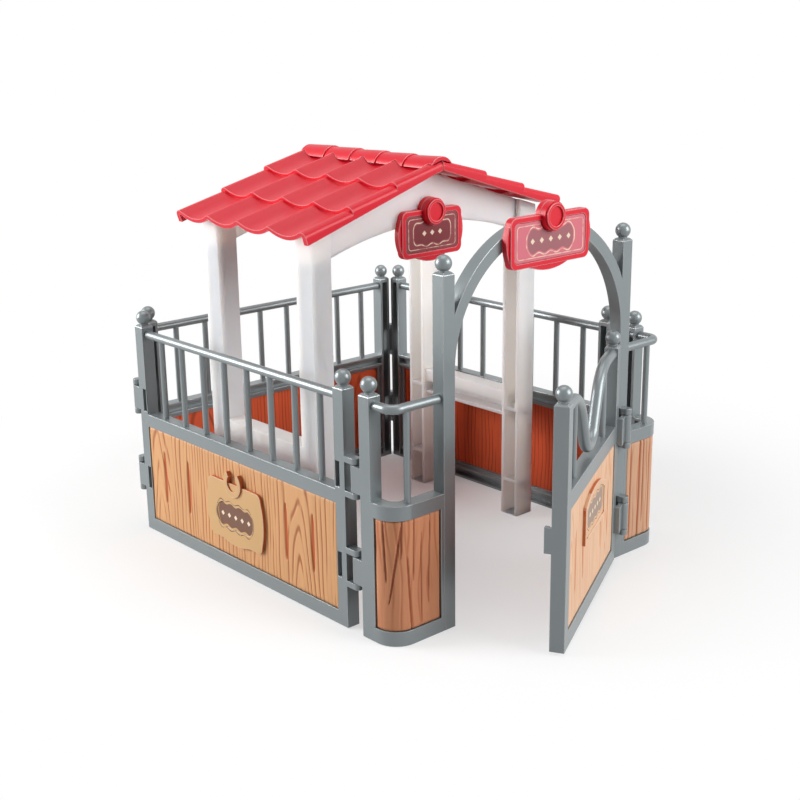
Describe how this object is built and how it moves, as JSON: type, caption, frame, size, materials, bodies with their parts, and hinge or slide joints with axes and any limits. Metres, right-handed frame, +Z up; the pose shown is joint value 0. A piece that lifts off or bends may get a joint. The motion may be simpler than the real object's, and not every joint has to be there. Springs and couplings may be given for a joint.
{
  "type": "toy stable",
  "caption": "Toy horse stable: hinged fence panels and an arched gateway with a swinging gate round a free-standing shelter with a stepped tile roof.",
  "frame": {"origin": "middle of the whole object's base with the gate ajar as stored, on the floor; the pen's own middle is 34.1 mm along +Y", "axes": "+X to the right as seen from the gateway side, +Y to the rear of the pen, +Z up; the gateway faces -Y"},
  "size_m": [0.165, 0.2317, 0.1781],
  "materials": {
    "grey_plastic": "satin",
    "red_plastic": "satin",
    "white_plastic": "satin",
    "tan_board": "matt, wood-grained",
    "brown_board": "matt, wood-grained",
    "sign_plate": "matt",
    "plaque_plastic": "matt"
  },
  "bodies": {
    "front_and_shelter": {"front_arch": "grey_plastic", "left_corner_frame": "grey_plastic", "right_corner_frame": "grey_plastic", "left_corner_board": "brown_board", "right_corner_board": "brown_board", "arch_sign_board": "red_plastic", "arch_sign_plate": "sign_plate", "arch_sign_peg": "red_plastic", "left_shelter_frame": "white_plastic", "right_shelter_frame": "white_plastic", "front_gable": "white_plastic", "rear_gable": "white_plastic", "left_roof_slope": "red_plastic", "right_roof_slope": "red_plastic", "roof_ridge": "red_plastic", "gable_sign_board": "red_plastic", "gable_sign_plate": "sign_plate", "gable_sign_peg": "red_plastic"},
    "left_fence": {"left_fence_frame": "grey_plastic", "left_fence_board": "tan_board", "left_fence_plaque": "plaque_plastic"},
    "right_fence": {"right_fence_frame": "grey_plastic", "right_fence_board": "tan_board"},
    "rear_fence": {"rear_fence_frame": "grey_plastic", "rear_fence_board": "tan_board"},
    "gate": {"gate_frame": "grey_plastic", "gate_board": "tan_board", "gate_plaque": "plaque_plastic"}
  },
  "joints": [
    {"name": "gate_swing", "type": "hinge", "parent": "front_and_shelter", "child": "gate", "pos_m": [0.052, -0.0715, 0], "axis": [0, 0, 1], "range_deg": [-28, 100]},
    {"name": "left_fence_swing", "type": "hinge", "parent": "front_and_shelter", "child": "left_fence", "pos_m": [-0.0795, -0.0454, 0], "axis": [0, 0, 1], "range_deg": [0, 100]},
    {"name": "right_fence_swing", "type": "hinge", "parent": "front_and_shelter", "child": "right_fence", "pos_m": [0.0795, -0.0454, 0], "axis": [0, 0, -1], "range_deg": [0, 100]},
    {"name": "rear_fence_swing", "type": "hinge", "parent": "right_fence", "child": "rear_fence", "pos_m": [0.0795, 0.1136, 0], "axis": [0, 0, -1], "range_deg": [0, 120]}
  ]
}
